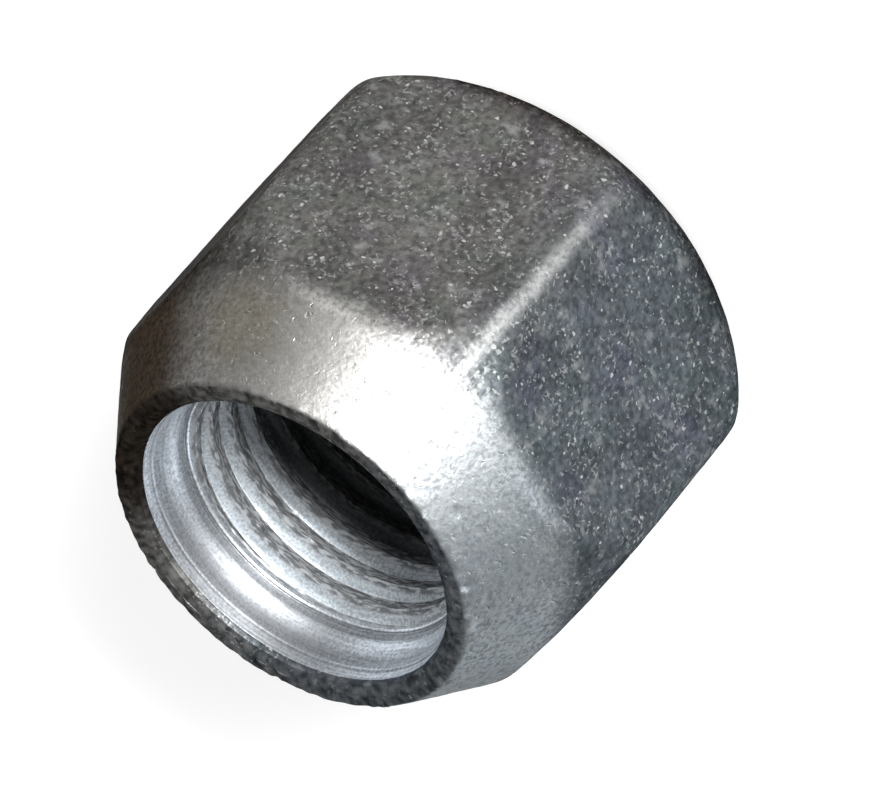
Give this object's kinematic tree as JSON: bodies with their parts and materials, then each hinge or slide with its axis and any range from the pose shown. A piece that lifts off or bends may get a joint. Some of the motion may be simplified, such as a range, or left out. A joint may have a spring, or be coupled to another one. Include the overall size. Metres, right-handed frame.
{
  "type": "lug nut",
  "caption": "Open-ended wheel lug nut: a wrench hexagon blending into a 60 degree conical seat, with a through thread and a plain counterbore at the mouth.",
  "frame": {"origin": "on the bore axis, in the plane of the flat back face that the nut stands on", "axes": "+Z along the bore axis from the back face to the mouth and its conical seat, +X through a corner of the hexagon, +Y square to a pair of flats"},
  "size_m": [0.0216, 0.019, 0.0175],
  "materials": {
    "nut": "zinc-plated, dull and lightly nicked"
  },
  "bodies": {
    "root": {"nut": "nut"}
  },
  "joints": []
}
